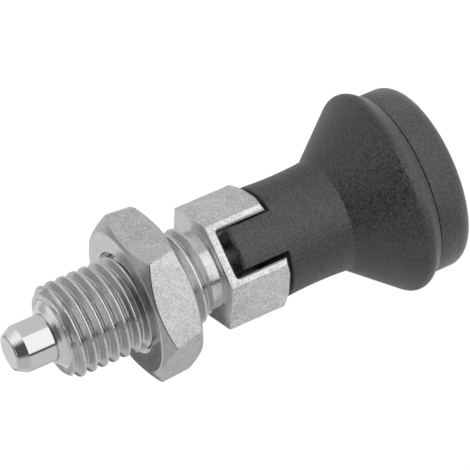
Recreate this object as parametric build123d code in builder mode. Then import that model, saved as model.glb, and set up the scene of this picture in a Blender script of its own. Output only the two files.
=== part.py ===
from build123d import *
import os
from math import cos, radians, sqrt, tan

# Locking indexing plunger. A threaded body with a slotted hexagon guides a spring-loaded pin.
# Two lugs of the pull knob lie in the hexagon's slot. Pulled out and turned, they rest on its end.
# All lengths in mm. +Z is the axis, with the pin's nose up. Z = 0 is the flat end of the knob's cap.

# ---------------------------------------------------------------- driving dimensions

# Fits
running_clearance = 0.05        # radial, round sliding fits
assembly_clearance = 0.05       # radial, pieces that are screwed or plugged together
stop_clearance = 0.03           # axial, collar against guide bush and spring against its seats
spring_clearance = 0.25         # radial, spring and collar in the body's bore

# Locking pin
pin_diameter = 6.0
pin_projection = 5.1            # nose tip above the guide bush
nose_length = 1.45
nose_half_angle = 28.0          # degrees
nose_rounding = 0.5
collar_step = 0.7               # radial height of the collar over the pin
collar_thickness = 1.5
shank_diameter = 4.0            # behind the collar
tail_diameter = 3.0             # threaded end that carries the knob
tail_overhang = 0.9             # beyond the pin nut
tail_chamfer = 0.3

# Body
thread_diameter = 12.0          # M12 x 1.5, over its crests
thread_section_length = 20.6    # hexagon's face to the body's front face
lead_chamfer = 0.85             # 45 degrees, at the thread's start
relief_diameter = 9.9           # groove between thread and hexagon
relief_width = 1.7
relief_rounding = 0.35          # at the groove's floor
hex_across_flats = 14.0
hex_length = 8.1
hex_end_circle = 14.4           # flat end left by the corner chamfer
corner_chamfer_angle = 30.0     # degrees, on the hexagon and on both nuts
slot_width = 6.2
slot_depth = 6.85
slot_floor_rounding = 0.3
slot_edge_chamfer = 0.3
rear_wall = 2.15                # between the spring's bore and the slot

# Guide bush, pressed into the body's front
bush_wall_step = 0.45           # radial, bush seat over the spring's bore
bush_seat_depth = 3.5
bush_projection = 0.8
bush_face_width = 0.45          # flat ring round the pin
bush_bevel_width = 0.55         # first of the two bevels round that ring
bush_bevel_drop = 0.45

# Spring
wire_diameter = 0.7
coil_count = 7.0

# Locknut
nut_across_flats = 19.0
nut_height = 5.6
nut_face_circle = 18.0
nut_countersink = 0.45          # at both ends of the nut's thread
nut_distance = 5.05             # from the hexagon's face
nut_turn = -18.0                # degrees, against the body's hexagon
nut_corner_taper = 7.0          # degrees, its corners narrow towards the body's hexagon
nut_taper_start = 0.1           # behind the corners of the front chamfer

# Knob
sleeve_end_diameter = 14.4      # at the shoulder
sleeve_waist_diameter = 14.06
sleeve_foot_diameter = 14.46    # at the crease where the cone starts
sleeve_length = 8.75
head_height = 9.2               # crease to the joint with the cap
cone_half_angle = 39.0          # degrees
flank_half_angle = 35.0         # degrees, from the rim back to the joint
joint_diameter = 24.0
rim_rounding = 1.3
shoulder_rounding = 0.2
lug_length = 6.15
lug_side_clearance = 0.45
lug_end_clearance = 1.15
lug_recess = 0.03               # radial, lugs inside the sleeve's line
lug_tip_rounding = 0.5
lug_edge_rounding = 0.2
knob_play_turn = 1.6            # degrees, how the lugs lie in the slot
pocket_wall = 2.4
pocket_depth = 7.0              # joint to the pocket's floor
web_thickness = 3.0             # clamped between the pin's shoulder and the washer

# Cap
cap_diameter = 23.5
cap_height = 4.8
cap_rounding = 1.7
cap_plate = 2.0
shadow_line_width = 0.25        # gap round the joint of knob and cap
shadow_line_depth = 0.5
recess_diameter = 20.6          # the knob's recess for the cap's spigot
recess_depth = 3.0
spigot_wall = 1.4
spigot_end_clearance = 0.1
spigot_chamfer = 0.3
bead_height = 0.2               # snap bead on the spigot
bead_radius = 0.4
bead_distance = 1.5             # from the joint

# Fastening of the knob, under the cap
washer_diameter = 7.0
washer_thickness = 0.5
pin_nut_across_flats = 5.5
pin_nut_height = 2.4
pin_nut_face_circle = 5.2

# ---------------------------------------------------------------- places along the axis

joint_z = cap_height
recess_z = joint_z + recess_depth
crease_z = joint_z + head_height
shoulder_z = crease_z + sleeve_length
lug_tip_z = shoulder_z + lug_length
slot_floor_z = lug_tip_z + lug_end_clearance
hex_end_z = slot_floor_z - slot_depth
hex_face_z = hex_end_z + hex_length
bore_floor_z = slot_floor_z + rear_wall
body_front_z = hex_face_z + thread_section_length
bush_seat_z = body_front_z - bush_seat_depth
bush_face_z = body_front_z + bush_projection
pin_tip_z = bush_face_z + pin_projection
collar_front_z = bush_seat_z - stop_clearance
collar_rear_z = collar_front_z - collar_thickness
pocket_floor_z = joint_z + pocket_depth
pin_shoulder_z = pocket_floor_z + web_thickness
washer_under_z = pocket_floor_z - washer_thickness
pin_nut_under_z = washer_under_z - pin_nut_height
tail_end_z = pin_nut_under_z - tail_overhang
nut_under_z = hex_face_z + nut_distance
bead_z = joint_z + bead_distance

# ---------------------------------------------------------------- radii from the same values

pin_r = pin_diameter / 2
shank_r = shank_diameter / 2
tail_r = tail_diameter / 2
nose_r = pin_r - nose_length * tan(radians(nose_half_angle))
collar_r = pin_r + collar_step
spring_bore_r = collar_r + spring_clearance
coil_r = collar_r - wire_diameter / 2
bush_r = spring_bore_r + bush_wall_step
thread_r = thread_diameter / 2
relief_r = relief_diameter / 2
slot_half = slot_width / 2
lug_r = sleeve_end_diameter / 2 - lug_recess
foot_r = sleeve_foot_diameter / 2
joint_r = joint_diameter / 2
recess_r = recess_diameter / 2
spigot_r = recess_r - assembly_clearance
bead_centre_r = spigot_r + bead_height - bead_radius


# ---------------------------------------------------------------- hexagons

def corner_cutter(across_flats, face_circle, face_z, upward):
    """Ring that takes a hexagon's corners down to the face circle, on its upper or lower face."""
    face_r = face_circle / 2
    rim_r = across_flats
    drop = (rim_r - face_r) * tan(radians(corner_chamfer_angle))
    rim_z = face_z - drop if upward else face_z + drop
    with BuildPart(mode=Mode.PRIVATE) as cutter:
        with BuildSketch(Plane.XZ):
            with BuildLine():
                Polyline((face_r, face_z), (rim_r, face_z), (rim_r, rim_z), close=True)
            make_face()
        revolve(axis=Axis.Z)
    return cutter.part


def hexagon_nut(across_flats, height, face_circle, under_z, bore_r, countersink, turn):
    """Hexagon nut with both faces chamfered, and its thread as a plain bore."""
    with BuildPart(mode=Mode.PRIVATE) as nut:
        with BuildSketch(Plane.XY.offset(under_z)):
            RegularPolygon(radius=across_flats / 2, side_count=6, major_radius=False, rotation=turn)
        extrude(amount=height)
        add(corner_cutter(across_flats, face_circle, under_z, False), mode=Mode.SUBTRACT)
        add(corner_cutter(across_flats, face_circle, under_z + height, True), mode=Mode.SUBTRACT)
        with Locations((0, 0, under_z + height)):
            Hole(radius=bore_r)
        chamfer(nut.edges().filter_by(GeomType.CIRCLE).sort_by(SortBy.RADIUS)[:2], length=countersink)
    return nut.part


# ---------------------------------------------------------------- body

with BuildPart() as body:
    # Thread section with its lead chamfer and the relief groove
    with BuildSketch(Plane.XZ) as thread_section:
        with BuildLine():
            Polyline(
                (0, slot_floor_z),
                (relief_r, slot_floor_z),
                (relief_r, hex_face_z + relief_width),
                (thread_r, hex_face_z + relief_width),
                (thread_r, body_front_z),
                (0, body_front_z),
                close=True,
            )
        make_face()
        front_corner = thread_section.vertices().group_by(Axis.Y)[-1].sort_by(Axis.X)[-1]
        chamfer(front_corner, length=lead_chamfer)
        groove_corner = thread_section.vertices().group_by(Axis.Y)[1].sort_by(Axis.X)[0]
        fillet(groove_corner, radius=relief_rounding)
    revolve(axis=Axis.Z)
    # Hexagon, with its rear corners chamfered
    with BuildSketch(Plane.XY.offset(hex_end_z)):
        RegularPolygon(radius=hex_across_flats / 2, side_count=6, major_radius=False)
    extrude(amount=hex_length)
    add(corner_cutter(hex_across_flats, hex_end_circle, hex_end_z, False), mode=Mode.SUBTRACT)
    # Slot across the hexagon for the knob's lugs
    with BuildSketch(Plane.XZ) as slot_section:
        with Locations((0, slot_floor_z)):
            Rectangle(slot_width, slot_depth + hex_length, align=(Align.CENTER, Align.MAX))
        fillet(slot_section.vertices().group_by(Axis.Y)[-1], radius=slot_floor_rounding)
    extrude(amount=hex_across_flats, both=True, mode=Mode.SUBTRACT)
    slot_edges = body.edges().filter_by(Axis.Z).filter_by(lambda e: abs(abs(e.center().X) - slot_half) < 0.01)
    chamfer(slot_edges, length=slot_edge_chamfer)
    # Bores: seat of the guide bush, room for the spring, guide of the pin's shank
    with Locations((0, 0, body_front_z)):
        CounterBoreHole(
            radius=spring_bore_r,
            counter_bore_radius=bush_r,
            counter_bore_depth=bush_seat_depth,
            depth=body_front_z - bore_floor_z,
        )
        Hole(radius=shank_r + running_clearance)

# ---------------------------------------------------------------- guide bush

with BuildPart() as guide_bush:
    with BuildSketch(Plane.XZ):
        ring_r = pin_r + running_clearance + bush_face_width
        with BuildLine():
            Polyline(
                (pin_r + running_clearance, bush_seat_z),
                (bush_r, bush_seat_z),
                (bush_r, body_front_z),
                (ring_r + bush_bevel_width, bush_face_z - bush_bevel_drop),
                (ring_r, bush_face_z),
                (pin_r + running_clearance, bush_face_z),
                close=True,
            )
        make_face()
    revolve(axis=Axis.Z)

# ---------------------------------------------------------------- locking pin

with BuildPart() as locking_pin:
    with BuildSketch(Plane.XZ) as pin_section:
        with BuildLine():
            Polyline(
                (0, tail_end_z),
                (tail_r, tail_end_z),
                (tail_r, pin_shoulder_z),
                (shank_r, pin_shoulder_z),
                (shank_r, collar_rear_z),
                (collar_r, collar_rear_z),
                (collar_r, collar_front_z),
                (pin_r, collar_front_z),
                (pin_r, pin_tip_z - nose_length),
                (nose_r, pin_tip_z),
                (0, pin_tip_z),
                close=True,
            )
        make_face()
        fillet(pin_section.vertices().group_by(Axis.Y)[-1].sort_by(Axis.X)[-1], radius=nose_rounding)
        chamfer(pin_section.vertices().group_by(Axis.Y)[0].sort_by(Axis.X)[-1], length=tail_chamfer)
    revolve(axis=Axis.Z)

# ---------------------------------------------------------------- spring

spring_under_z = bore_floor_z + stop_clearance
spring_top_z = collar_rear_z - stop_clearance
spring_length = spring_top_z - spring_under_z

with BuildPart() as spring:
    # The helix runs from one ground end to the other, so each end coil loses half its wire
    with BuildLine():
        coil = Helix(
            pitch=spring_length / coil_count,
            height=spring_length,
            radius=coil_r,
            center=(0, 0, spring_under_z),
        )
    with BuildSketch(Plane(origin=coil @ 0, z_dir=coil % 0)):
        Circle(wire_diameter / 2)
    sweep(path=coil, is_frenet=True)
    split(bisect_by=Plane.XY.offset(spring_under_z), keep=Keep.TOP)
    split(bisect_by=Plane.XY.offset(spring_top_z), keep=Keep.BOTTOM)

# ---------------------------------------------------------------- locknut

with BuildPart() as locknut:
    add(
        hexagon_nut(
            nut_across_flats,
            nut_height,
            nut_face_circle,
            nut_under_z,
            thread_r + running_clearance,
            nut_countersink,
            nut_turn,
        )
    )
    # Cone that narrows the corners towards the rear face
    corner_r = nut_across_flats / 2 / cos(radians(30))
    corner_drop = (corner_r - nut_face_circle / 2) * tan(radians(corner_chamfer_angle))
    taper_z = nut_under_z + nut_height - corner_drop - nut_taper_start
    rear_r = corner_r - (taper_z - nut_under_z) * tan(radians(nut_corner_taper))
    with BuildSketch(Plane.XZ):
        with BuildLine():
            Polyline(
                (corner_r, taper_z),
                (rear_r, nut_under_z),
                (nut_across_flats, nut_under_z),
                (nut_across_flats, taper_z),
                close=True,
            )
        make_face()
    revolve(axis=Axis.Z, mode=Mode.SUBTRACT)

# ---------------------------------------------------------------- knob

cone_slope = tan(radians(cone_half_angle))
flank_slope = tan(radians(flank_half_angle))
rim_rise = (foot_r + head_height * cone_slope - joint_r) / (cone_slope + flank_slope)
pocket_wall_across = pocket_wall / cos(radians(cone_half_angle))


def pocket_r(z):
    """Radius of the pocket at a height: the cone's less its wall."""
    return foot_r + (crease_z - z) * cone_slope - pocket_wall_across


# Cross bar whose rounded ends are the two lugs
with BuildPart() as cross_bar:
    bar_height = lug_length + shoulder_rounding
    with BuildSketch(Plane.XZ.rotated((0, 0, knob_play_turn))) as bar_section:
        with Locations((0, lug_tip_z)):
            Rectangle(slot_width - 2 * lug_side_clearance, bar_height, align=(Align.CENTER, Align.MAX))
        fillet(bar_section.vertices().group_by(Axis.Y)[-1], radius=lug_edge_rounding)
    extrude(amount=sleeve_end_diameter, both=True)
    with BuildSketch(Plane.XZ) as lug_section:
        with Locations((0, lug_tip_z)):
            Rectangle(lug_r, bar_height, align=(Align.MIN, Align.MAX))
        fillet(lug_section.vertices().group_by(Axis.Y)[-1].sort_by(Axis.X)[-1], radius=lug_tip_rounding)
    revolve(axis=Axis.Z, mode=Mode.INTERSECT)

with BuildPart() as knob:
    # Mushroom head and waisted sleeve
    with BuildSketch(Plane.XZ) as knob_section:
        with BuildLine():
            head = Polyline(
                (0, shoulder_z),
                (0, joint_z),
                (joint_r, joint_z),
                (joint_r + rim_rise * flank_slope, joint_z + rim_rise),
                (foot_r, crease_z),
            )
            sleeve = ThreePointArc(
                head @ 1,
                (sleeve_waist_diameter / 2, (crease_z + shoulder_z) / 2),
                (sleeve_end_diameter / 2, shoulder_z),
            )
            Line(sleeve @ 1, head @ 0)
        make_face()
        fillet(knob_section.vertices().sort_by(Axis.X)[-1], radius=rim_rounding)
        fillet(knob_section.vertices().group_by(Axis.Y)[-1].sort_by(Axis.X)[-1], radius=shoulder_rounding)
    revolve(axis=Axis.Z)
    add(cross_bar.part)
    # Pocket behind the cone, recess for the cap's spigot and groove for its snap bead
    with BuildSketch(Plane.XZ):
        with BuildLine():
            Polyline(
                (0, pocket_floor_z),
                (pocket_r(pocket_floor_z), pocket_floor_z),
                (pocket_r(recess_z), recess_z),
                (recess_r, recess_z),
                (recess_r, joint_z),
                (0, joint_z),
                close=True,
            )
        make_face()
        with Locations((bead_centre_r, bead_z)):
            Circle(bead_radius + assembly_clearance)
    revolve(axis=Axis.Z, mode=Mode.SUBTRACT)
    # Stepped bore for the pin's shank and tail
    with Locations((0, 0, lug_tip_z)):
        Hole(radius=shank_r + assembly_clearance, depth=lug_tip_z - pin_shoulder_z)
        Hole(radius=tail_r + assembly_clearance, depth=lug_tip_z - joint_z)

# ---------------------------------------------------------------- cap

with BuildPart() as knob_cap:
    with BuildSketch(Plane.XZ) as cap_section:
        spigot_z = recess_z - spigot_end_clearance
        with BuildLine():
            Polyline(
                (0, 0),
                (cap_diameter / 2, 0),
                (cap_diameter / 2, joint_z - shadow_line_width),
                (cap_diameter / 2 - shadow_line_depth, joint_z - shadow_line_width),
                (cap_diameter / 2 - shadow_line_depth, joint_z),
                (spigot_r, joint_z),
                (spigot_r, spigot_z),
                (spigot_r - spigot_wall, spigot_z),
                (spigot_r - spigot_wall, cap_plate),
                (0, cap_plate),
                close=True,
            )
        make_face()
        fillet(cap_section.vertices().group_by(Axis.Y)[0].sort_by(Axis.X)[-1], radius=cap_rounding)
        chamfer(cap_section.vertices().group_by(Axis.Y)[-1].sort_by(Axis.X)[-1], length=spigot_chamfer)
        with Locations((bead_centre_r, bead_z)):
            Circle(bead_radius)
    revolve(axis=Axis.Z)

# ---------------------------------------------------------------- fastening under the cap

with BuildPart() as knob_washer:
    with BuildSketch(Plane.XY.offset(washer_under_z)):
        Circle(washer_diameter / 2)
        Circle(tail_r + assembly_clearance, mode=Mode.SUBTRACT)
    extrude(amount=washer_thickness)

with BuildPart() as pin_nut:
    add(
        hexagon_nut(
            pin_nut_across_flats,
            pin_nut_height,
            pin_nut_face_circle,
            pin_nut_under_z,
            tail_r + assembly_clearance,
            tail_chamfer,
            0,
        )
    )

# ---------------------------------------------------------------- export

pieces = {
    "body": body,
    "guide_bush": guide_bush,
    "locking_pin": locking_pin,
    "spring": spring,
    "locknut": locknut,
    "knob": knob,
    "knob_cap": knob_cap,
    "knob_washer": knob_washer,
    "pin_nut": pin_nut,
}

os.makedirs("parts", exist_ok=True)
for name, piece in pieces.items():
    piece.part.label = name
    export_step(piece.part, f"parts/{name}.step")
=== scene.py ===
import math

import bmesh
import bpy
import numpy as np
from mathutils import Matrix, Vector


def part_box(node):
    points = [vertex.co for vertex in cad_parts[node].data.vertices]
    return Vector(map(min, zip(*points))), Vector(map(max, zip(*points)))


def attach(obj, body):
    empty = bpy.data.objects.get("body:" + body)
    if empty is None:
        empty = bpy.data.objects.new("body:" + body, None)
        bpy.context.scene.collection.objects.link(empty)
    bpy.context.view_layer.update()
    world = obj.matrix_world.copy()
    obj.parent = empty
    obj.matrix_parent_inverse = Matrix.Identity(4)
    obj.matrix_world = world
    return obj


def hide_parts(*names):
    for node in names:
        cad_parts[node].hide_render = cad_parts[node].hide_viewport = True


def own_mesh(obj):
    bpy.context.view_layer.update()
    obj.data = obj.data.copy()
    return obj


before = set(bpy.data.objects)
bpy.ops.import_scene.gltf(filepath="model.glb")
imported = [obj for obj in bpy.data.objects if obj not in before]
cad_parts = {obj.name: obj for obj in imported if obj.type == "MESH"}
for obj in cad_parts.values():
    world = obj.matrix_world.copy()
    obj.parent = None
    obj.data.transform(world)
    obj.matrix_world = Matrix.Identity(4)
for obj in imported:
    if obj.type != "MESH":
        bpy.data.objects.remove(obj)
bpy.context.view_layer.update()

bl_info = {
    "name": "Indexing plunger surfaces",
    "version": (1, 0, 0),
    "blender": (4, 5, 0),
    "location": "3D View > Sidebar > Plunger",
    "description": "Thread, machined faces, spring and moulded knob of an indexing plunger",
    "category": "Object",
}

MM = 0.001
WELD = 1e-7                          # doubled points of a computed surface, metres
NODE_WELD = 1e-6                     # doubled points of a CAD node, metres
SPRING_LOW, SPRING_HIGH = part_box("spring")
NUT_LOW, NUT_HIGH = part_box("locknut")
BODY_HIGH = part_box("body")[1]
SAME_PLACE = 0.001 * MM              # heights closer than this are the same
FULL_TURN = 2 * math.pi


# ---------------------------------------------------------------- sizes and finishes

def length(name, description, default):
    """Value in metres, shown in the scene's unit."""
    return bpy.props.FloatProperty(
        name=name, description=description, default=default, min=0.0,
        unit="LENGTH", subtype="DISTANCE", precision=5,
    )


def share(name, description, default):
    """Value from 0 to 1."""
    return bpy.props.FloatProperty(
        name=name, description=description, default=default, min=0.0, max=1.0, subtype="FACTOR",
    )


def colour(name, description, default):
    """Linear red, green and blue."""
    return bpy.props.FloatVectorProperty(
        name=name, description=description, default=default, size=3, min=0.0, max=1.0, subtype="COLOR",
    )


class ThreadSizes(bpy.types.PropertyGroup):
    """External thread of the body."""
    pitch: length("Pitch", "Advance of the thread in one turn", 1.5 * MM)
    crest_radius: length("Crest radius", "Radius over the crests", 6.0 * MM)
    root_radius: length("Root radius", "Radius at the bottom of the groove", 5.08 * MM)
    crest_width: length("Crest width", "Flat left on top of the thread", 0.26 * MM)
    root_width: length("Root width", "Width of the groove's bottom", 0.26 * MM)
    rounding: length("Rounding", "Size of the roundings at crest and root", 0.05 * MM)
    crest_place: length("Crest place", "Height at which a crest passes the +X side", 51.27 * MM)
    low_end: length("Rear end", "Height where the thread runs out into the relief", 33.0 * MM)
    relief_edge: length("Relief edge", "Radius where the relief meets the thread's rear end", 5.3 * MM)
    front_radius: length("Front radius", "Radius of the body's front face", 5.15 * MM)


class EdgeSizes(bpy.types.PropertyGroup):
    """Small roundings that deburring leaves on steel edges."""
    steel: length("Steel edge", "Rounding of machined edges", 0.09 * MM)
    nut_corner: length("Nut corner", "Rounding of the locknut's upright corners", 0.12 * MM)


class LocknutSizes(bpy.types.PropertyGroup):
    """Hexagon locknut."""
    across_flats: length("Across flats", "Distance between opposite flats", 19.0 * MM)
    face_radius: length("Face radius", "Radius of the flat ring on both ends", 9.0 * MM)
    bore_radius: length("Bore radius", "Radius of the bore over the body's thread", 6.05 * MM)
    countersink: length("Countersink", "Depth of the bevel at the bore's ends", 0.45 * MM)
    turn: bpy.props.FloatProperty(
        name="Turn", description="Turn of the nut about the axis, against the body's hexagon",
        default=math.radians(-18.0), subtype="ANGLE",
    )
    chamfer: bpy.props.FloatProperty(
        name="Chamfer", description="Slope of the corner chamfers",
        default=math.radians(30.0), subtype="ANGLE",
    )
    taper: bpy.props.FloatProperty(
        name="Corner taper", description="Slope by which the corners narrow towards the rear",
        default=math.radians(7.0), subtype="ANGLE",
    )


class SpringSizes(bpy.types.PropertyGroup):
    """Compression spring behind the pin's collar."""
    wire_radius: length("Wire radius", "Half the wire's diameter", 0.35 * MM)
    coil_radius: length("Coil radius", "Axis to the wire's centre", 3.35 * MM)
    coils: bpy.props.FloatProperty(
        name="Coils", description="Turns from end to end", default=7.0, min=2.0,
    )
    closed: bpy.props.FloatProperty(
        name="Closed coils", description="Turns laid flat at each end", default=1.0, min=0.0,
    )


class Finishes(bpy.types.PropertyGroup):
    """Colours and surface grain."""
    turned: colour("Turned steel", "Thread, faces and chamfers", (0.72, 0.72, 0.715))
    ground: colour("Ground steel", "Locking pin", (0.78, 0.78, 0.775))
    drawn: colour("Drawn steel", "Hexagon's flats", (0.68, 0.68, 0.675))
    formed: colour("Formed steel", "Locknut's flats", (0.62, 0.62, 0.615))
    chamfered: colour("Chamfered steel", "Locknut's corner chamfers", (0.6, 0.6, 0.595))
    faced: colour("Faced steel", "Guide bush", (0.93, 0.93, 0.925))
    wire: colour("Spring wire", "Drawn and oiled spring wire", (0.45, 0.45, 0.44))
    plastic: colour("Moulded plastic", "Knob and cap", (0.025, 0.025, 0.025))
    turned_roughness: share("Turned roughness", "Microscopic roughness of turned faces", 0.2)
    ground_roughness: share("Ground roughness", "Microscopic roughness of the pin", 0.12)
    drawn_roughness: share("Drawn roughness", "Microscopic roughness of the flats", 0.38)
    milled_roughness: share("Milled roughness", "Microscopic roughness of the slot", 0.3)
    wire_roughness: share("Wire roughness", "Microscopic roughness of the spring wire", 0.35)
    plastic_roughness: share("Plastic roughness", "Microscopic roughness of the plastic", 0.38)
    grain: length("Plastic grain", "Size of the plastic's moulded grain", 0.3 * MM)


class Studio(bpy.types.PropertyGroup):
    """Floor, light and camera."""
    floor_size: length("Floor size", "Side of the pale floor", 6.0)
    floor_colour: colour("Floor colour", "Pale floor", (0.9, 0.9, 0.9))
    lens: bpy.props.FloatProperty(
        name="Lens", description="Focal length", default=330.9, unit="CAMERA", min=1.0,
    )
    tent_radius: length("Tent radius", "Radius of the light tent that the steel reflects", 65 * MM)
    tent_height: length("Tent height", "Height of the tent's upright wall", 110 * MM)


# ---------------------------------------------------------------- surfaces

def turned(profile, angles):
    """Surface of revolution: the profile's point (r, z) at angle a is (r cos a, r sin a, z)."""
    r, z = profile[:, 0, None], profile[:, 1, None]
    return np.stack([r * np.cos(angles), r * np.sin(angles), z + 0 * angles], -1)


def softened(rows, size):
    """Closed run of rows with its corners taken off: each row gives way to four, at one and three
    sizes before and after it along the surface, so shading stays flat outside the rounding. None
    goes further than 22 or 46 hundredths of the way to the next row."""
    before, after = np.roll(rows, 1, 0) - rows, np.roll(rows, -1, 0) - rows
    out = []
    for way, steps in ((before, (3, 1)), (after, (1, 3))):
        gap = np.linalg.norm(way, axis=-1, keepdims=True)
        for step in steps:
            distance = np.minimum(step * size, gap * (0.1 + 0.12 * step))
            out.append(rows + way / np.maximum(gap, WELD) * distance)
    return np.stack(out, 1).reshape(-1, *rows.shape[1:])


def quads(count, columns, closed, shift=0):
    """Corner numbers of the four-sided faces of a grid of rows whose columns go all the way round.
    With a shift, the last column joins the first one that many rows higher, as a helix does."""
    index = np.arange(count * columns).reshape(count, columns)
    upper = np.roll(index, -1, 0)
    last = count if closed else count - 1
    across = np.stack([index[:last, :-1], index[:last, 1:], upper[:last, 1:], upper[:last, :-1]], -1)
    low, high = index[: last - shift, -1], upper[: last - shift, -1]
    seam = np.stack([low, index[shift:last, 0], upper[shift:last, 0], high], -1)
    return np.concatenate([across.reshape(-1, 4), seam])


def mesh_from(name, vertices, faces):
    """Mesh of points and four-sided faces, with collapsed faces and doubled points removed."""
    mesh = bpy.data.meshes.new(name)
    mesh.from_pydata(vertices.reshape(-1, 3).tolist(), [], faces.tolist())
    bm = bmesh.new()
    bm.from_mesh(mesh)
    bmesh.ops.remove_doubles(bm, verts=bm.verts, dist=WELD)
    bmesh.ops.dissolve_degenerate(bm, edges=bm.edges, dist=WELD)
    bm.to_mesh(mesh)
    bm.free()
    return mesh


def add_to_scene(name, data):
    """New object of that data, in the scene."""
    obj = bpy.data.objects.new(name, data)
    bpy.context.scene.collection.objects.link(obj)
    return obj


def piece(name, mesh, materials, body, slot, *replaced):
    """Object of a mesh at the origin, shaded smooth, riding on its body and standing for CAD nodes."""
    for material in materials:
        mesh.materials.append(material)
    mesh.polygons.foreach_set("use_smooth", np.ones(len(mesh.polygons), bool))
    mesh.update()
    obj = add_to_scene(name, mesh)
    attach(obj, body)
    if replaced:
        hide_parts(*replaced)
    return obj


def thread_height(phase, sizes):
    """Radius of the thread at a phase from 0 to 1 of its pitch, with a crest at 0: straight flanks
    between crest and root, and both corners rounded by a smooth minimum and maximum."""
    across = np.abs((phase + 0.5) % 1.0 - 0.5) * sizes.pitch
    top, foot = sizes.crest_width / 2, (sizes.pitch - sizes.root_width) / 2
    slope = (sizes.crest_radius - sizes.root_radius) / (foot - top)
    flank = sizes.crest_radius - (across - top) * slope
    soft = sizes.rounding
    low = 0.5 * (flank + sizes.crest_radius - np.sqrt((flank - sizes.crest_radius) ** 2 + soft ** 2))
    return 0.5 * (low + sizes.root_radius + np.sqrt((low - sizes.root_radius) ** 2 + (3 * soft) ** 2))


# Rows of the thread's profile near its corners, in shares of the pitch from the corner
CREST_ROWS = (0.0, 0.02, 0.05, 0.075)
ROOT_ROWS = (-0.085, -0.06, -0.02, 0.02)
RUNOUT_SLOPE = 0.8                   # of the cone that fills the groove at the thread's rear end
RUNOUT_STEP = 0.02 * MM              # by which that cone starts wider than the relief's edge


def thread_rows(sizes, columns, front):
    """Helical surface: row k at angle a lies at height k steps + pitch * a / turn, held between the
    thread's ends, and its radius is the thread's at that phase, under the lead chamfer's cone."""
    top, foot = sizes.crest_width / sizes.pitch / 2, 0.5 - sizes.root_width / sizes.pitch / 2
    half = np.array([0.0, 0.7 * top, *[top + gap for gap in CREST_ROWS], 0.5 * (top + foot),
                     *[foot + gap for gap in ROOT_ROWS], 0.5])
    phases = np.concatenate([half, 1 - half[-2:0:-1]])
    angles = np.arange(columns) / columns * FULL_TURN
    turns = math.ceil((front - sizes.low_end) / sizes.pitch) + 3
    first = math.floor((sizes.low_end - sizes.crest_place) / sizes.pitch) - 1
    place = (first + np.arange(turns)[:, None] + phases).reshape(-1)
    z = sizes.crest_place + sizes.pitch * (place[:, None] + angles / FULL_TURN)
    z = np.clip(z, sizes.low_end, front)
    phase = (z - sizes.crest_place) / sizes.pitch - angles / FULL_TURN
    cone = sizes.front_radius + (front - z)
    runout = sizes.relief_edge + RUNOUT_STEP - RUNOUT_SLOPE * (z - sizes.low_end)
    r = np.maximum(np.minimum(thread_height(phase, sizes), cone), runout)
    return np.stack([r * np.cos(angles), r * np.sin(angles), z], -1), len(phases)


CROWDING = 0.12                      # by which a side's points move towards its ends


def hexagon_outline(across_flats, rounding, turn, along=26, around=5):
    """Points round a hexagon with rounded corners: at corner k an arc of sixty degrees about a
    centre on the corner's bisector, then a straight side whose points crowd towards its ends."""
    middle = across_flats / math.sqrt(3) - rounding / math.cos(math.pi / 6)
    corners = turn + np.arange(6)[:, None] * FULL_TURN / 6
    swing = corners + np.linspace(-math.pi / 6, math.pi / 6, around)
    arcs = np.stack([middle * np.cos(corners) + rounding * np.cos(swing),
                     middle * np.sin(corners) + rounding * np.sin(swing)], -1)
    start, end = arcs[:, -1:], np.roll(arcs, -1, 0)[:, :1]
    steps = np.linspace(0, 1, along + 2)[1:-1, None]
    steps = steps + CROWDING * np.sin(-FULL_TURN * steps)
    return np.concatenate([arcs, start + (end - start) * steps], 1).reshape(-1, 2)


def nut_rows(sizes, low, high, rounding, edge, side_rows=8):
    """Rows of a chamfered hexagon nut, up its outside and down its bore. Where the outline lies
    outside the face circle, its edge drops by that distance times the chamfer's slope. A cone
    that widens from the rear cuts the corners: no row reaches further out than the cone."""
    outline = hexagon_outline(sizes.across_flats, rounding, sizes.turn)
    reach = np.linalg.norm(outline, axis=1)
    direction = outline / reach[:, None]
    slope = math.tan(sizes.chamfer)
    drop = (reach - sizes.face_radius) * slope
    inner, mouth = sizes.bore_radius, sizes.bore_radius + sizes.countersink
    full = high - drop.max()
    narrow = np.minimum(reach, reach.max() - (full - low) * math.tan(sizes.taper))
    rear = low + (narrow - sizes.face_radius) * slope

    def row(radius, z):
        """Outline drawn at that radius and height."""
        place = direction * np.reshape(radius, (-1, 1))
        return np.concatenate([place, np.broadcast_to(z, reach.shape)[:, None]], 1)

    def side(part):
        """Row of the outer wall at that part of the way up."""
        z = rear + (high - drop - rear) * part
        return row(np.minimum(reach, reach.max() - np.maximum(full - z, 0) * math.tan(sizes.taper)), z)

    rows = np.stack([
        row(inner, low + sizes.countersink), row(mouth, low), row(sizes.face_radius, low),
        *[side(part) for part in np.linspace(0, 1, side_rows)],
        row(sizes.face_radius, high), row(mouth, high), row(inner, high - sizes.countersink),
    ])
    return softened(rows, edge)


def coil_rows(sizes, low, high, steps=64, around=12):
    """Spring wire: the centre climbs along a helix whose end coils lie flat, eased by a cosine, and
    a circle of the wire's radius is carried along it in the plane of axis and radius."""
    turns = np.linspace(0, sizes.coils, int(sizes.coils * steps) + 1)
    rise_low, rise_high = low + sizes.wire_radius, high - sizes.wire_radius
    lay = 2 * sizes.wire_radius * sizes.closed
    free = np.clip((turns - sizes.closed) / (sizes.coils - 2 * sizes.closed), 0, 1)
    first = np.clip(turns / sizes.closed, 0, 1) * lay
    last = np.clip((turns - sizes.coils) / sizes.closed + 1, 0, 1) * lay
    centre = rise_low + first + last + free * (rise_high - rise_low - 2 * lay)
    swing = np.arange(around) / around * FULL_TURN
    reach = sizes.coil_radius + sizes.wire_radius * np.cos(swing)
    z = centre[:, None] + sizes.wire_radius * np.sin(swing)
    a = turns[:, None] * FULL_TURN
    return np.stack([reach * np.cos(a), reach * np.sin(a), z], -1)


# ---------------------------------------------------------------- shader groups

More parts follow.
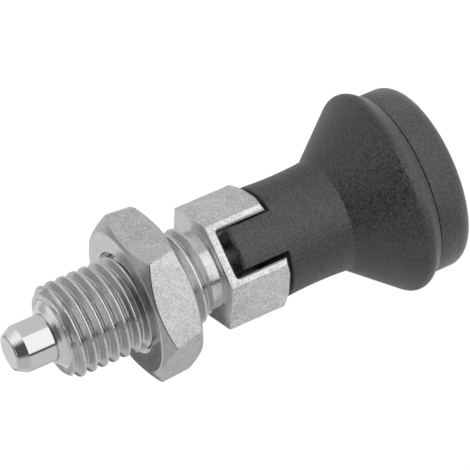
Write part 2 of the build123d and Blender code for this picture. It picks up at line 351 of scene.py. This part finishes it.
NOISE_SPAN = (0.3, 0.7)              # most values of a noise lie between these
TONE_SPAN = (0.38, 0.62)             # tones that give a finish's darkest and lightest colour
FADE_SCALE = 700.0                   # of the noise, per metre, along which a turning ring fades
FADED_SHARE = 0.55                   # of a ring's height where it has faded most
BLOTCH_SHARE = 0.25                  # of the blotches in the tone of mottled steel
PIT_SCALE = 0.45                     # of the grain's scale
PIT_SPAN = (0.28, 0.36)              # noise at which a pit has its full depth, and none
CELL_SHARE = 0.6                     # of the moulded cells in the grain's height
SLOW_SCALE = 260.0                   # of the noise, per metre, that clouds the moulded skin
SLOW_SHARE = 0.12                    # of that noise in the skin's tone


def new_group(name, inputs, outputs):
    """Shader node group with named float or vector inputs and outputs."""
    group = bpy.data.node_groups.new(name, "ShaderNodeTree")
    for label, kind, value in inputs:
        socket = group.interface.new_socket(name=label, in_out="INPUT", socket_type=kind)
        if value is not None:
            socket.default_value = value
    for label, kind in outputs:
        group.interface.new_socket(name=label, in_out="OUTPUT", socket_type=kind)
    return group, group.nodes.new("NodeGroupInput"), group.nodes.new("NodeGroupOutput")


def math_node(tree, operation, a, b=None):
    """Math node of two values or sockets; gives its output socket."""
    node = tree.nodes.new("ShaderNodeMath")
    node.operation = operation
    for socket, value in zip(node.inputs, (a, b)):
        if isinstance(value, bpy.types.NodeSocket):
            tree.links.new(value, socket)
        elif value is not None:
            socket.default_value = value
    return node.outputs[0]


def weighted_sum(tree, a, by_a, b, by_b):
    """Sum of two sockets, each times a number or a socket; gives the sum's socket."""
    part_a, part_b = math_node(tree, "MULTIPLY", a, by_a), math_node(tree, "MULTIPLY", b, by_b)
    return math_node(tree, "ADD", part_a, part_b)


def vector_node(tree, operation, a, b=None):
    """Vector math node of two vectors or sockets; gives its output socket."""
    node = tree.nodes.new("ShaderNodeVectorMath")
    node.operation = operation
    for socket, value in zip(node.inputs, (a, b)):
        if isinstance(value, bpy.types.NodeSocket):
            tree.links.new(value, socket)
        elif value is not None:
            socket.default_value = value
    return node.outputs["Value" if operation in ("LENGTH", "DOT_PRODUCT") else 0]


def noise_node(tree, vector, scale, detail=2.0, roughness=0.5):
    """Three-dimensional noise; gives its value's socket."""
    node = tree.nodes.new("ShaderNodeTexNoise")
    node.inputs["Detail"].default_value = detail
    node.inputs["Roughness"].default_value = roughness
    tree.links.new(vector, node.inputs["Vector"])
    if isinstance(scale, bpy.types.NodeSocket):
        tree.links.new(scale, node.inputs["Scale"])
    else:
        node.inputs["Scale"].default_value = scale
    return node.outputs["Fac"]


def range_node(tree, value, low, high, to_low, to_high):
    """Value mapped from one range to another and held inside it; gives its output socket."""
    node = tree.nodes.new("ShaderNodeMapRange")
    tree.links.new(value, node.inputs["Value"])
    for label, number in zip(("From Min", "From Max", "To Min", "To Max"), (low, high, to_low, to_high)):
        if isinstance(number, bpy.types.NodeSocket):
            tree.links.new(number, node.inputs[label])
        else:
            node.inputs[label].default_value = number
    return node.outputs["Result"]


def object_place(tree):
    """The surface point's own coordinates; gives their socket."""
    return tree.nodes.new("ShaderNodeTexCoord").outputs["Object"]


def parts_of(tree, vector):
    """X, Y and Z sockets of a vector socket."""
    node = tree.nodes.new("ShaderNodeSeparateXYZ")
    tree.links.new(vector, node.inputs[0])
    return node.outputs


def turning_marks():
    """Rings that a turning tool leaves: noise read at (radius, height), so it runs round the axis,
    faded in and out along the ring by a slower noise of the place itself."""
    tree, given, result = new_group(
        "turning marks", [("Scale", "NodeSocketFloat", 9000.0)],
        [("Height", "NodeSocketFloat"), ("Streak", "NodeSocketFloat")],
    )
    place = object_place(tree)
    x, y, z = parts_of(tree, place)
    radius = math_node(tree, "POWER", weighted_sum(tree, x, x, y, y), 0.5)
    ring = tree.nodes.new("ShaderNodeCombineXYZ")
    tree.links.new(radius, ring.inputs[0])
    tree.links.new(z, ring.inputs[2])
    fine = noise_node(tree, ring.outputs[0], given.outputs["Scale"], detail=3.0, roughness=0.6)
    fade = noise_node(tree, place, FADE_SCALE, detail=1.0)
    share_left = range_node(tree, fade, *NOISE_SPAN, FADED_SHARE, 1.0)
    tree.links.new(math_node(tree, "MULTIPLY", fine, share_left), result.inputs["Height"])
    tree.links.new(fine, result.inputs["Streak"])
    return tree


def mottled_grain():
    """Blotches and fine grain of formed or drawn steel: a slow noise for the blotches, a fine one
    for the grain, and a sharpened one between the two for small pits."""
    tree, given, result = new_group(
        "mottled grain", [("Blotch", "NodeSocketFloat", 500.0), ("Grain", "NodeSocketFloat", 4200.0)],
        [("Height", "NodeSocketFloat"), ("Tone", "NodeSocketFloat"), ("Pits", "NodeSocketFloat")],
    )
    place = object_place(tree)
    blotch = noise_node(tree, place, given.outputs["Blotch"], detail=3.0, roughness=0.6)
    grain = noise_node(tree, place, given.outputs["Grain"], roughness=0.6)
    pit_scale = math_node(tree, "MULTIPLY", given.outputs["Grain"], PIT_SCALE)
    pits = noise_node(tree, place, pit_scale, detail=1.0)
    tree.links.new(weighted_sum(tree, blotch, BLOTCH_SHARE, grain, 1 - BLOTCH_SHARE), result.inputs["Tone"])
    tree.links.new(grain, result.inputs["Height"])
    tree.links.new(range_node(tree, pits, *PIT_SPAN, 1.0, 0.0), result.inputs["Pits"])
    return tree


def moulded_grain():
    """Spark-eroded grain of a moulded skin: fine cells blended with noise at the same size."""
    tree, given, result = new_group(
        "moulded grain", [("Size", "NodeSocketFloat", 0.00022)],
        [("Height", "NodeSocketFloat"), ("Tone", "NodeSocketFloat")],
    )
    place = object_place(tree)
    scale = math_node(tree, "DIVIDE", 1.0, given.outputs["Size"])
    cells = tree.nodes.new("ShaderNodeTexVoronoi")
    cells.feature = "SMOOTH_F1"
    tree.links.new(place, cells.inputs["Vector"])
    tree.links.new(scale, cells.inputs["Scale"])
    fine = noise_node(tree, place, scale, roughness=0.6)
    slow = noise_node(tree, place, SLOW_SCALE)
    coarse = math_node(tree, "MULTIPLY", cells.outputs["Distance"], CELL_SHARE)
    tree.links.new(math_node(tree, "ADD", coarse, fine), result.inputs["Height"])
    tree.links.new(weighted_sum(tree, fine, 1 - SLOW_SHARE, slow, SLOW_SHARE), result.inputs["Tone"])
    return tree


GROUP_MAKERS = {"turning": turning_marks, "grain": mottled_grain, "moulded": moulded_grain}
GROUPS = {}


def effect(tree, name, **values):
    """A shared effect placed in a material, with this material's own values."""
    if name not in GROUPS:
        GROUPS[name] = GROUP_MAKERS[name]()
    node = tree.nodes.new("ShaderNodeGroup")
    node.node_tree = GROUPS[name]
    for label, value in values.items():
        node.inputs[label].default_value = value
    return node.outputs


# ---------------------------------------------------------------- materials

GROOVE_SHADE_FULL = 0.16 * MM               # under the crest: from here inwards the painted shade in the groove is darkest
GROOVE_SHADE_NONE = 0.03 * MM             # under the crest: from here outwards there is no painted shade
GROOVE_SHADE_SHARE = 0.82                  # of the colour that is left in the groove under its painted shade
STEEL_SWING = (0.85, 1.2)            # lowest and highest roughness, in shares of a steel's own
SKIN_SWING = (0.9, 1.1)              # the same for the plastic
SKIN_HEIGHT = 0.08 * MM              # of the plastic's grain where its value is one
SKIN_SPREAD = 0.95                   # of the plastic's colour
SKIN_SHINE = 0.85                    # mirror strength of the plastic; 0.5 leaves its index as it is


def new_material(name):
    """Material with nodes; gives it and its node tree."""
    material = bpy.data.materials.new(name)
    material.use_nodes = True
    return material, material.node_tree


def shaded_colour(tree, base, tone, spread):
    """Base colour made darker and lighter by a tone, at most by the spread's share of itself."""
    ramp = tree.nodes.new("ShaderNodeValToRGB")
    dark, light = ramp.color_ramp.elements
    dark.position, light.position = TONE_SPAN
    dark.color = (*[c * (1 - spread) for c in base], 1)
    light.color = (*[min(1.0, c * (1 + spread)) for c in base], 1)
    tree.links.new(tone, ramp.inputs[0])
    return ramp.outputs["Color"]


def bump_node(tree, height):
    """Bump node of a height in metres; gives the normal's socket."""
    node = tree.nodes.new("ShaderNodeBump")
    node.inputs["Strength"].default_value = 1.0
    node.inputs["Distance"].default_value = 1.0
    tree.links.new(height, node.inputs["Height"])
    return node.outputs["Normal"]


def roughen(tree, shader, tone, roughness, swing):
    """The shader's roughness, moved by a tone between the swing's shares of its value."""
    low, high = (roughness * part for part in swing)
    tree.links.new(range_node(tree, tone, *NOISE_SPAN, low, high), shader.inputs["Roughness"])


def steel(name, base, roughness, turning=None, grain=None, spread=0.06, turning_depth=0.0,
          grain_depth=0.0, pits=0.0, crest=None):
    """Stainless steel with turning rings, with drawn grain, or with both. The colour varies by the
    spread. Depths are in metres. Below a thread's crest radius the colour is darker: painted shade in the
    groove."""
    material, tree = new_material(name)
    shader = tree.nodes["Principled BSDF"]
    shader.inputs["Metallic"].default_value = 1.0
    height = tone = None
    if turning:
        marks = effect(tree, "turning", Scale=turning)
        height = math_node(tree, "MULTIPLY", marks["Height"], turning_depth)
        tone = marks["Streak"]
    if grain:
        marks = effect(tree, "grain", Grain=grain)
        own = math_node(tree, "MULTIPLY", marks["Height"], grain_depth)
        if pits:
            own = math_node(tree, "SUBTRACT", own, math_node(tree, "MULTIPLY", marks["Pits"], pits))
        height = own if height is None else math_node(tree, "ADD", height, own)
        tone = marks["Tone"] if tone is None else weighted_sum(tree, tone, 0.5, marks["Tone"], 0.5)
    shade = shaded_colour(tree, base, tone, spread)
    # Painted shade: below the crest radius the colour is darkened towards the thread's root
    if crest:
        level = vector_node(tree, "MULTIPLY", object_place(tree), (1.0, 1.0, 0.0))
        reach = vector_node(tree, "LENGTH", level)
        share_left = range_node(
            tree, reach, crest - GROOVE_SHADE_FULL, crest - GROOVE_SHADE_NONE, GROOVE_SHADE_SHARE, 1.0)
        groove_shade = tree.nodes.new("ShaderNodeVectorMath")
        groove_shade.operation = "SCALE"
        tree.links.new(shade, groove_shade.inputs[0])
        tree.links.new(share_left, groove_shade.inputs["Scale"])
        shade = groove_shade.outputs[0]
    tree.links.new(shade, shader.inputs["Base Color"])
    roughen(tree, shader, tone, roughness, STEEL_SWING)
    tree.links.new(bump_node(tree, height), shader.inputs["Normal"])
    return material


def plastic(name, base, roughness, grain):
    """Grey-black plastic with a fine moulded grain."""
    material, tree = new_material(name)
    shader = tree.nodes["Principled BSDF"]
    shader.inputs["Specular IOR Level"].default_value = SKIN_SHINE
    marks = effect(tree, "moulded", Size=grain)
    shade = shaded_colour(tree, base, marks["Tone"], SKIN_SPREAD)
    tree.links.new(shade, shader.inputs["Base Color"])
    roughen(tree, shader, marks["Tone"], roughness, SKIN_SWING)
    height = math_node(tree, "MULTIPLY", marks["Height"], SKIN_HEIGHT)
    tree.links.new(bump_node(tree, height), shader.inputs["Normal"])
    return material


# Soft boxes and dark cards that hang in the light tent, and the bands of its cloth, each over the ones
# before it. Angles are in degrees from the front towards -X, heights in millimetres. Each row has the
# middle, the half width, the low and the high end, the soft width of the sides and of the ends, and
# the brightness.
CARDS = (
    (100.0, 55.0, 66.0, 136.0, 20.0, 10.0, 0.53),
    (-140.0, 22.0, 75.0, 136.0, 12.0, 10.0, 0.4),
    (-8.0, 57.0, 50.0, 124.0, 15.0, 10.0, 0.07),
    (-60.0, 29.0, 78.0, 118.0, 36.0, 10.0, 1.05),
    (15.0, 34.0, 72.0, 118.0, 30.0, 8.0, 0.09),
    (0.0, 400.0, 137.8, 160.0, 5.0, 1.5, 0.22),
    (0.0, 70.0, 136.8, 141.5, 15.0, 0.8, 0.04),
    (150.0, 18.0, -10.0, 40.0, 8.0, 8.0, 0.54),
    (0.0, 40.0, -10.0, 44.0, 2.0, 8.0, 1.15),
    (-25.0, 60.0, -10.0, 1.0, 25.0, 1.0, 1.2),
    (-110.0, 30.0, -10.0, 1.0, 20.0, 1.0, 0.6),
    (80.0, 50.0, -10.0, 1.0, 20.0, 1.0, 0.75),
    (46.5, 5.5, 2.0, 48.0, 3.0, 8.0, 0.06),
    (172.0, 9.0, 59.0, 72.5, 4.0, 3.0, 0.02),
    (170.0, 10.0, 30.0, 58.0, 5.0, 5.0, 0.12),
)
CARD_LABELS = ("Middle", "Half Width", "Low", "High", "Edge", "Height Edge")
FRONT = 3.25                         # degrees from -Y towards -X, where the cards' angles start
CLOTH_SPAN = (45.0, 75.0)            # millimetres: over these heights the cloth gets lighter
CLOTH_GLOW = (0.65, 0.72)            # below and above them


def card_mask():
    """Soft-edged card in the tent: one inside a span of azimuth and of height, zero outside it."""
    tree, given, result = new_group(
        "tent card",
        [(label, "NodeSocketFloat", 0.0) for label in ("Azimuth", "Height", *CARD_LABELS)],
        [("Mask", "NodeSocketFloat")],
    )
    read = given.outputs

    def span(start, end, edge):
        """One where the end is half an edge or more above the start, zero where it is so far below."""
        inner = math_node(tree, "DIVIDE", math_node(tree, "SUBTRACT", end, start), read[edge])
        return range_node(tree, inner, -0.5, 0.5, 0.0, 1.0)

    away = math_node(tree, "ABSOLUTE", math_node(tree, "SUBTRACT", read["Azimuth"], read["Middle"]))
    sides = span(away, read["Half Width"], "Edge")
    above = span(read["Low"], read["Height"], "Height Edge")
    below = span(read["Height"], read["High"], "Height Edge")
    ends = math_node(tree, "MULTIPLY", above, below)
    tree.links.new(math_node(tree, "MULTIPLY", sides, ends), result.inputs["Mask"])
    return tree


def tent_cloth():
    """Light tent: pale cloth, lighter towards the top, with soft boxes and dark cards hung in it."""
    material, tree = new_material("tent cloth")
    tree.nodes.remove(tree.nodes["Principled BSDF"])
    group = card_mask()
    x, y, z = parts_of(tree, object_place(tree))
    left, near = (math_node(tree, "MULTIPLY", value, -1.0) for value in (x, y))
    angle = math_node(tree, "DEGREES", math_node(tree, "ARCTAN2", left, near))
    azimuth = math_node(tree, "SUBTRACT", angle, FRONT)
    height = math_node(tree, "DIVIDE", z, MM)
    level = range_node(tree, height, *CLOTH_SPAN, *CLOTH_GLOW)
    for *place, brightness in CARDS:
        card = tree.nodes.new("ShaderNodeGroup")
        card.node_tree = group
        tree.links.new(azimuth, card.inputs["Azimuth"])
        tree.links.new(height, card.inputs["Height"])
        for label, value in zip(CARD_LABELS, place):
            card.inputs[label].default_value = value
        level = range_node(tree, card.outputs["Mask"], 0.0, 1.0, level, brightness)
    glow = tree.nodes.new("ShaderNodeEmission")
    tree.links.new(level, glow.inputs["Strength"])
    tree.links.new(glow.outputs[0], tree.nodes["Material Output"].inputs[0])
    material.cycles.emission_sampling = "NONE"
    return material


TOOL_MARKS = 7000.0                  # scale of a turning tool's rings, per metre
MARK_DEPTH = 0.01 * MM               # of those rings, on most turned faces
MATERIALS = {}


def finish_named(name):
    """The finish of that name, made on first use from the scene's values."""
    if name in MATERIALS:
        return MATERIALS[name]
    own = bpy.context.scene.plunger_finishes
    made = {
        "turned": lambda: steel(
            "turned steel", own.turned, own.turned_roughness, turning=TOOL_MARKS,
            turning_depth=MARK_DEPTH, grain=3600.0, grain_depth=0.006 * MM, spread=0.14),
        "chamfered": lambda: steel(
            "chamfered steel", own.chamfered, own.turned_roughness, turning=TOOL_MARKS,
            turning_depth=MARK_DEPTH, grain=4200.0, grain_depth=0.01 * MM, spread=0.2),
        "faced": lambda: steel(
            "faced steel", own.faced, own.turned_roughness, turning=TOOL_MARKS,
            turning_depth=0.006 * MM, spread=0.1),
        # Threaded steel: its colour carries painted shade in the thread's groove, below the crest radius
        "thread": lambda: steel(
            "threaded steel", own.turned, own.turned_roughness, turning=TOOL_MARKS,
            turning_depth=MARK_DEPTH, grain=3600.0, grain_depth=0.01 * MM, spread=0.2,
            crest=bpy.context.scene.plunger_thread.crest_radius),
        "ground": lambda: steel(
            "ground steel", own.ground, own.ground_roughness, turning=16000.0,
            turning_depth=0.0008 * MM, spread=0.03),
        "drawn": lambda: steel(
            "drawn steel", own.drawn, own.drawn_roughness,
            grain=4400.0, grain_depth=0.014 * MM, spread=0.3),
        "slot": lambda: steel(
            "milled steel", own.turned, own.milled_roughness,
            grain=6000.0, grain_depth=0.006 * MM, spread=0.08, pits=0.02 * MM),
        "formed": lambda: steel(
            "formed steel", own.formed, own.drawn_roughness,
            grain=4200.0, grain_depth=0.02 * MM, spread=0.24),
        "wire": lambda: steel(
            "spring wire", own.wire, own.wire_roughness,
            grain=3000.0, grain_depth=0.002 * MM, spread=0.1),
        "plastic": lambda: plastic("moulded plastic", own.plastic, own.plastic_roughness, own.grain),
    }[name]()
    MATERIALS[name] = made
    return made


# ---------------------------------------------------------------- operators

def face_values(mesh):
    """Middle, normal and reach from the axis of each face, as arrays."""
    middle = np.empty(len(mesh.polygons) * 3)
    normal = np.empty(len(mesh.polygons) * 3)
    mesh.polygons.foreach_get("center", middle)
    mesh.polygons.foreach_get("normal", normal)
    middle, normal = middle.reshape(-1, 3), normal.reshape(-1, 3)
    return middle, normal, np.hypot(middle[:, 0], middle[:, 1])


def set_finishes(mesh, index):
    """Gives each face the material slot of that number."""
    mesh.polygons.foreach_set("material_index", index.astype(np.int32))


def take_off(bm, edges, size, segments):
    """Rounds those edges, or with one segment bevels them."""
    bmesh.ops.bevel(bm, geom=edges, offset=size, segments=segments, profile=0.5,
                    affect="EDGES", clamp_overlap=True)


THREAD_COLUMNS = 144                 # points round the thread
RELIEF_WIDTH = 1.7 * MM              # from the thread's rear end to the hexagon's face
RUN_UP = 0.2 * MM                    # by which rounded edges may rise above the hexagon's face
RIM = 0.05 * MM                      # the plain wall under the thread begins this far inside the rim
MOUTH_REACH = 4.6 * MM               # closer to the axis the front face has only the bore's mouth
HOLE_REACH = 2.3 * MM                # closer to the axis the hexagon has only the pin's hole
SHARP_HEAD = math.radians(25.0)      # sharper edges of the hexagon are rounded
SMOOTH_BODY = math.radians(32.0)     # softer edges are shaded smooth
SMOOTH_NUT = math.radians(18.0)
UPRIGHT = 0.05                       # a flat's normal has no larger part along the axis
FACING_END = 0.3                     # the normal of a nut's end or chamfer has a larger part
FLAT_MATCH = 0.02 * MM               # a flat lies this close to half the width across flats
FRONT_RING = 0.4 * MM                # under the front face, finished as turned
THREAD_SHARE = 0.95                  # of the root radius: the thread's faces lie farther out
NUT_BORE_REACH = 7.0 * MM            # closer to the axis the nut has only its bore
# Finishes in the order of the material slots
BODY_FINISHES = ("turned", "drawn", "slot", "thread")
NUT_FINISHES = ("formed", "turned", "chamfered")


def take_out_plain_wall(bm, sizes):
    """Deletes the plain wall where the thread goes, and the front face it ends in."""
    inside = sizes.front_radius - RIM
    reach = {v: math.hypot(v.co.x, v.co.y) for v in bm.verts}
    outer = [
        f for f in bm.faces
        if all(v.co.z > sizes.low_end - SAME_PLACE and reach[v] > inside for v in f.verts)
        or all(v.co.z > BODY_HIGH.z - SAME_PLACE for v in f.verts)
    ]
    bmesh.ops.delete(bm, geom=outer, context="FACES")


def body_finish(mesh, sizes):
    """The hexagon's flats are drawn, the rest of it is milled, the thread is cut, and the relief,
    the faces and the bore are turned."""
    middle, normal, reach = face_values(mesh)
    z = middle[:, 2]
    head = z < sizes.low_end - RELIEF_WIDTH
    from_axis = np.einsum("ij,ij->i", middle, normal)
    flats = head & (np.abs(normal[:, 2]) < UPRIGHT) & (np.abs(from_axis - BODY_HIGH.y) < FLAT_MATCH)
    index = np.where(flats, 1, np.where(head & (reach > HOLE_REACH), 2, 0))
    cut = (z > sizes.low_end) & (z < BODY_HIGH.z - FRONT_RING)
    index[cut & (reach > THREAD_SHARE * sizes.root_radius)] = 3
    set_finishes(mesh, index)


class PLUNGER_OT_body(bpy.types.Operator):
    """Body: the hexagon with its slot, the relief and the external thread, as one closed surface"""
    bl_idname = "plunger.body"
    bl_label = "Threaded body"

    def execute(self, context):
        sizes, edge = context.scene.plunger_thread, context.scene.plunger_edges.steel
        rows, shift = thread_rows(sizes, THREAD_COLUMNS, BODY_HIGH.z)
        shell = mesh_from("thread shell", rows, quads(len(rows), THREAD_COLUMNS, False, shift))
        bm = bmesh.new()
        bm.from_mesh(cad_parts["body"].data)
        bmesh.ops.remove_doubles(bm, verts=bm.verts, dist=NODE_WELD)
        take_out_plain_wall(bm, sizes)
        bm.from_mesh(shell)
        bpy.data.meshes.remove(shell)
        for z in (sizes.low_end, BODY_HIGH.z):
            rims = [e for e in bm.edges if e.is_boundary
                    and all(abs(v.co.z - z) < SAME_PLACE for v in e.verts)]
            bmesh.ops.bridge_loops(bm, edges=rims)
        bmesh.ops.recalc_face_normals(bm, faces=bm.faces)
        mouth = [e for e in bm.edges if all(
            abs(v.co.z - BODY_HIGH.z) < SAME_PLACE and math.hypot(v.co.x, v.co.y) < MOUTH_REACH
            for v in e.verts)]
        take_off(bm, mouth, 2 * edge, 1)
        top = sizes.low_end - RELIEF_WIDTH + RUN_UP
        head = [e for e in bm.edges if e.is_manifold and e.calc_face_angle() > SHARP_HEAD and all(
            v.co.z < top and math.hypot(v.co.x, v.co.y) > HOLE_REACH for v in e.verts)]
        take_off(bm, head, edge, 2)
        mesh = bpy.data.meshes.new("threaded_body")
        bm.to_mesh(mesh)
        bm.free()
        if "custom_normal" in mesh.attributes:
            mesh.attributes.remove(mesh.attributes["custom_normal"])
        mesh.set_sharp_from_angle(angle=SMOOTH_BODY)
        finishes = [finish_named(name) for name in BODY_FINISHES]
        piece("threaded_body", mesh, finishes, "bushing", "stainless_body", "body")
        body_finish(mesh, sizes)
        return {"FINISHED"}


class PLUNGER_OT_locknut(bpy.types.Operator):
    """Locknut: hexagon with chamfered corners and rounded edges"""
    bl_idname = "plunger.locknut"
    bl_label = "Locknut"

    def execute(self, context):
        sizes, edges = context.scene.plunger_locknut, context.scene.plunger_edges
        rows = nut_rows(sizes, NUT_LOW.z, NUT_HIGH.z, edges.nut_corner, edges.steel)
        mesh = mesh_from("hex_locknut", rows, quads(*rows.shape[:2], True))
        mesh.set_sharp_from_angle(angle=SMOOTH_NUT)
        finishes = [finish_named(name) for name in NUT_FINISHES]
        piece("hex_locknut", mesh, finishes, "nut", "stainless_nut", "locknut")
        _, normal, reach = face_values(mesh)
        facing_end = np.abs(normal[:, 2]) > FACING_END
        corners = facing_end & (reach > sizes.face_radius)
        turned_faces = facing_end | (reach < NUT_BORE_REACH)
        set_finishes(mesh, np.where(corners, 2, np.where(turned_faces, 1, 0)))
        return {"FINISHED"}


def set_node_finishes(**finishes):
    """Gives CAD nodes, by name, the finish of that name."""
    for node, name in finishes.items():
        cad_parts[node].material_slots[0].material = finish_named(name)


class PLUNGER_OT_pin(bpy.types.Operator):
    """Locking pin and the guide bush it runs in"""
    bl_idname = "plunger.pin"
    bl_label = "Pin and guide bush"

    def execute(self, context):
        set_node_finishes(locking_pin="ground", guide_bush="faced")
        return {"FINISHED"}


class PLUNGER_OT_spring(bpy.types.Operator):
    """Compression spring, as a coil of wire with flat end coils"""
    bl_idname = "plunger.spring"
    bl_label = "Spring"

    def execute(self, context):
        sizes = context.scene.plunger_spring
        rows = coil_rows(sizes, SPRING_LOW.z, SPRING_HIGH.z)
        faces = quads(*rows.shape[:2], False)[:, ::-1]
        mesh = mesh_from("coil_spring", rows, faces)
        bm = bmesh.new()
        bm.from_mesh(mesh)
        bmesh.ops.holes_fill(bm, edges=[e for e in bm.edges if e.is_boundary])
        bmesh.ops.recalc_face_normals(bm, faces=bm.faces)
        bm.to_mesh(mesh)
        bm.free()
        coil = piece("coil_spring", mesh, [finish_named("wire")], "bushing", "spring_steel", "spring")
        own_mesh(coil)
        return {"FINISHED"}


class PLUNGER_OT_knob(bpy.types.Operator):
    """Pull knob with its cap, and the washer and nut that hold it on the pin"""
    bl_idname = "plunger.knob"
    bl_label = "Knob and cap"

    def execute(self, context):
        set_node_finishes(knob="plastic", knob_cap="plastic", knob_washer="turned", pin_nut="formed")
        return {"FINISHED"}


FLOOR_ROUGHNESS = 0.9
FLOOR_GLOW = 0.85                    # of the floor itself, for the camera and in mirror images
TENT_OPENING = 15 * MM               # radius of the hole in the tent's base, under the part
TENT_LIFT = 0.1 * MM                 # height of that base over the floor
TENT_SHOULDER = (0.5, 1.25)          # of the tent's radius and height, where its roof flattens
TENT_TOP = 1.3                       # of the tent's height
TENT_COLUMNS = 96
SKY_SPAN = (0.05, 0.6)               # Z of the directions between which the sky's glow fades
SKY_GLOW = (0.6, 0.1)                # below and above them
LAMP_SIDES = (0.5, 0.3)              # metres
LAMP_POWER = 3.0                     # watts
LAMP_PLACE = (0.12, -0.65, 0.12)
CAMERA_PLACE = (-0.02775, -0.49172, 0.20099)
CAMERA_ROUND = math.radians(-3.485)  # turn about the upright axis, from looking along +Y
CAMERA_DOWN = math.radians(19.5883)  # the camera looks this far below the horizon
CAMERA_ROLL = math.radians(-113.5071)    # turn about its own line of sight
SENSOR_WIDTH = 36.0                  # millimetres
SEEN_SPAN = (0.01, 50.0)             # metres from the camera


def pale_floor(own):
    """Matt floor that also glows by itself where it is seen straight or in a mirror image."""
    material, tree = new_material("pale floor")
    shader, output = tree.nodes["Principled BSDF"], tree.nodes["Material Output"]
    shader.inputs["Base Color"].default_value = (*own.floor_colour, 1)
    shader.inputs["Roughness"].default_value = FLOOR_ROUGHNESS
    light = tree.nodes.new("ShaderNodeLightPath").outputs
    mirrored = math_node(tree, "MAXIMUM", light["Is Glossy Ray"], light["Is Transmission Ray"])
    seen = math_node(tree, "MAXIMUM", light["Is Camera Ray"], mirrored)
    glow = tree.nodes.new("ShaderNodeEmission")
    tree.links.new(math_node(tree, "MULTIPLY", seen, FLOOR_GLOW), glow.inputs["Strength"])
    both = tree.nodes.new("ShaderNodeAddShader")
    tree.links.new(shader.outputs[0], both.inputs[0])
    tree.links.new(glow.outputs[0], both.inputs[1])
    tree.links.new(both.outputs[0], output.inputs[0])
    return material


def studio_sky():
    """World: white behind everything, and for the light a glow that fades upwards."""
    world = bpy.data.worlds.new("studio")
    world.use_nodes = True
    tree = world.node_tree
    sky = tree.nodes["Background"]
    sky.inputs["Color"].default_value = (1, 1, 1, 1)
    light = tree.nodes.new("ShaderNodeLightPath").outputs
    climb = parts_of(tree, tree.nodes.new("ShaderNodeTexCoord").outputs["Generated"])[2]
    ambient = range_node(tree, climb, *SKY_SPAN, *SKY_GLOW)
    strength = range_node(tree, light["Is Camera Ray"], 0.0, 1.0, ambient, 1.0)
    tree.links.new(strength, sky.inputs["Strength"])
    return world


class PLUNGER_OT_studio(bpy.types.Operator):
    """Pale floor, soft light and camera"""
    bl_idname = "plunger.studio"
    bl_label = "Studio"

    def execute(self, context):
        scene, own = context.scene, context.scene.plunger_studio
        scene.view_settings.view_transform = "Standard"
        half = own.floor_size / 2
        corners = [(-half, -half, 0), (half, -half, 0), (half, half, 0), (-half, half, 0)]
        mesh = bpy.data.meshes.new("floor")
        mesh.from_pydata(corners, [], [(0, 1, 2, 3)])
        mesh.materials.append(pale_floor(own))
        add_to_scene("floor", mesh)

        shoulder_radius, shoulder_height = TENT_SHOULDER
        profile = np.array([
            (TENT_OPENING, TENT_LIFT), (own.tent_radius, TENT_LIFT), (own.tent_radius, own.tent_height),
            (shoulder_radius * own.tent_radius, shoulder_height * own.tent_height),
            (WELD, TENT_TOP * own.tent_height),
        ])
        rows = turned(profile, np.arange(TENT_COLUMNS) / TENT_COLUMNS * FULL_TURN)
        mesh = mesh_from("light tent", rows, quads(*rows.shape[:2], False)[:, ::-1])
        mesh.materials.append(tent_cloth())
        tent = add_to_scene("light_tent", mesh)
        tent.visible_camera = tent.visible_diffuse = False
        tent.visible_shadow = tent.visible_transmission = False

        scene.world = studio_sky()

        lamp = bpy.data.lights.new("soft box", "AREA")
        lamp.shape, lamp.energy = "RECTANGLE", LAMP_POWER
        lamp.size, lamp.size_y = LAMP_SIDES
        box = add_to_scene("soft box", lamp)
        box.location = LAMP_PLACE
        box.rotation_mode = "QUATERNION"
        box.rotation_quaternion = box.location.to_track_quat("Z", "Y")
        box.visible_glossy = False

        camera = bpy.data.cameras.new("camera")
        camera.lens, camera.sensor_width = own.lens, SENSOR_WIDTH
        camera.clip_start, camera.clip_end = SEEN_SPAN
        eye = add_to_scene("camera", camera)
        tilt = Matrix.Rotation(math.pi / 2 - CAMERA_DOWN, 4, "X")
        turn = Matrix.Rotation(CAMERA_ROUND, 4, "Z") @ tilt @ Matrix.Rotation(CAMERA_ROLL, 4, "Z")
        eye.matrix_world = Matrix.Translation(CAMERA_PLACE) @ turn
        scene.camera = eye
        return {"FINISHED"}


class PLUNGER_PT_panel(bpy.types.Panel):
    """Sizes and finishes of the plunger, and the steps that build it"""
    bl_idname = "PLUNGER_PT_panel"
    bl_label = "Plunger"
    bl_space_type = "VIEW_3D"
    bl_region_type = "UI"
    bl_category = "Plunger"

    def draw(self, context):
        for label, name in GROUPS_OF_VALUES:
            box = self.layout.box()
            box.label(text=label)
            values = getattr(context.scene, name)
            for key in values.__annotations__:
                box.prop(values, key)
        for step in STEPS:
            self.layout.operator(step.bl_idname)


GROUPS_OF_VALUES = (
    ("Thread", "plunger_thread"), ("Edges", "plunger_edges"), ("Locknut", "plunger_locknut"),
    ("Spring", "plunger_spring"), ("Finishes", "plunger_finishes"), ("Studio", "plunger_studio"),
)
VALUE_CLASSES = (ThreadSizes, EdgeSizes, LocknutSizes, SpringSizes, Finishes, Studio)
STEPS = (
    PLUNGER_OT_body, PLUNGER_OT_locknut, PLUNGER_OT_pin, PLUNGER_OT_spring, PLUNGER_OT_knob,
    PLUNGER_OT_studio,
)
CLASSES = (*VALUE_CLASSES, *STEPS, PLUNGER_PT_panel)


def register():
    for cls in CLASSES:
        bpy.utils.register_class(cls)
    for cls, (_, name) in zip(VALUE_CLASSES, GROUPS_OF_VALUES):
        setattr(bpy.types.Scene, name, bpy.props.PointerProperty(type=cls))


def unregister():
    for _, name in GROUPS_OF_VALUES:
        delattr(bpy.types.Scene, name)
    for cls in reversed(CLASSES):
        bpy.utils.unregister_class(cls)


def main():
    register()
    for step in STEPS:
        group, name = step.bl_idname.split(".")
        getattr(getattr(bpy.ops, group), name)()


if __name__ == "__main__":
    main()
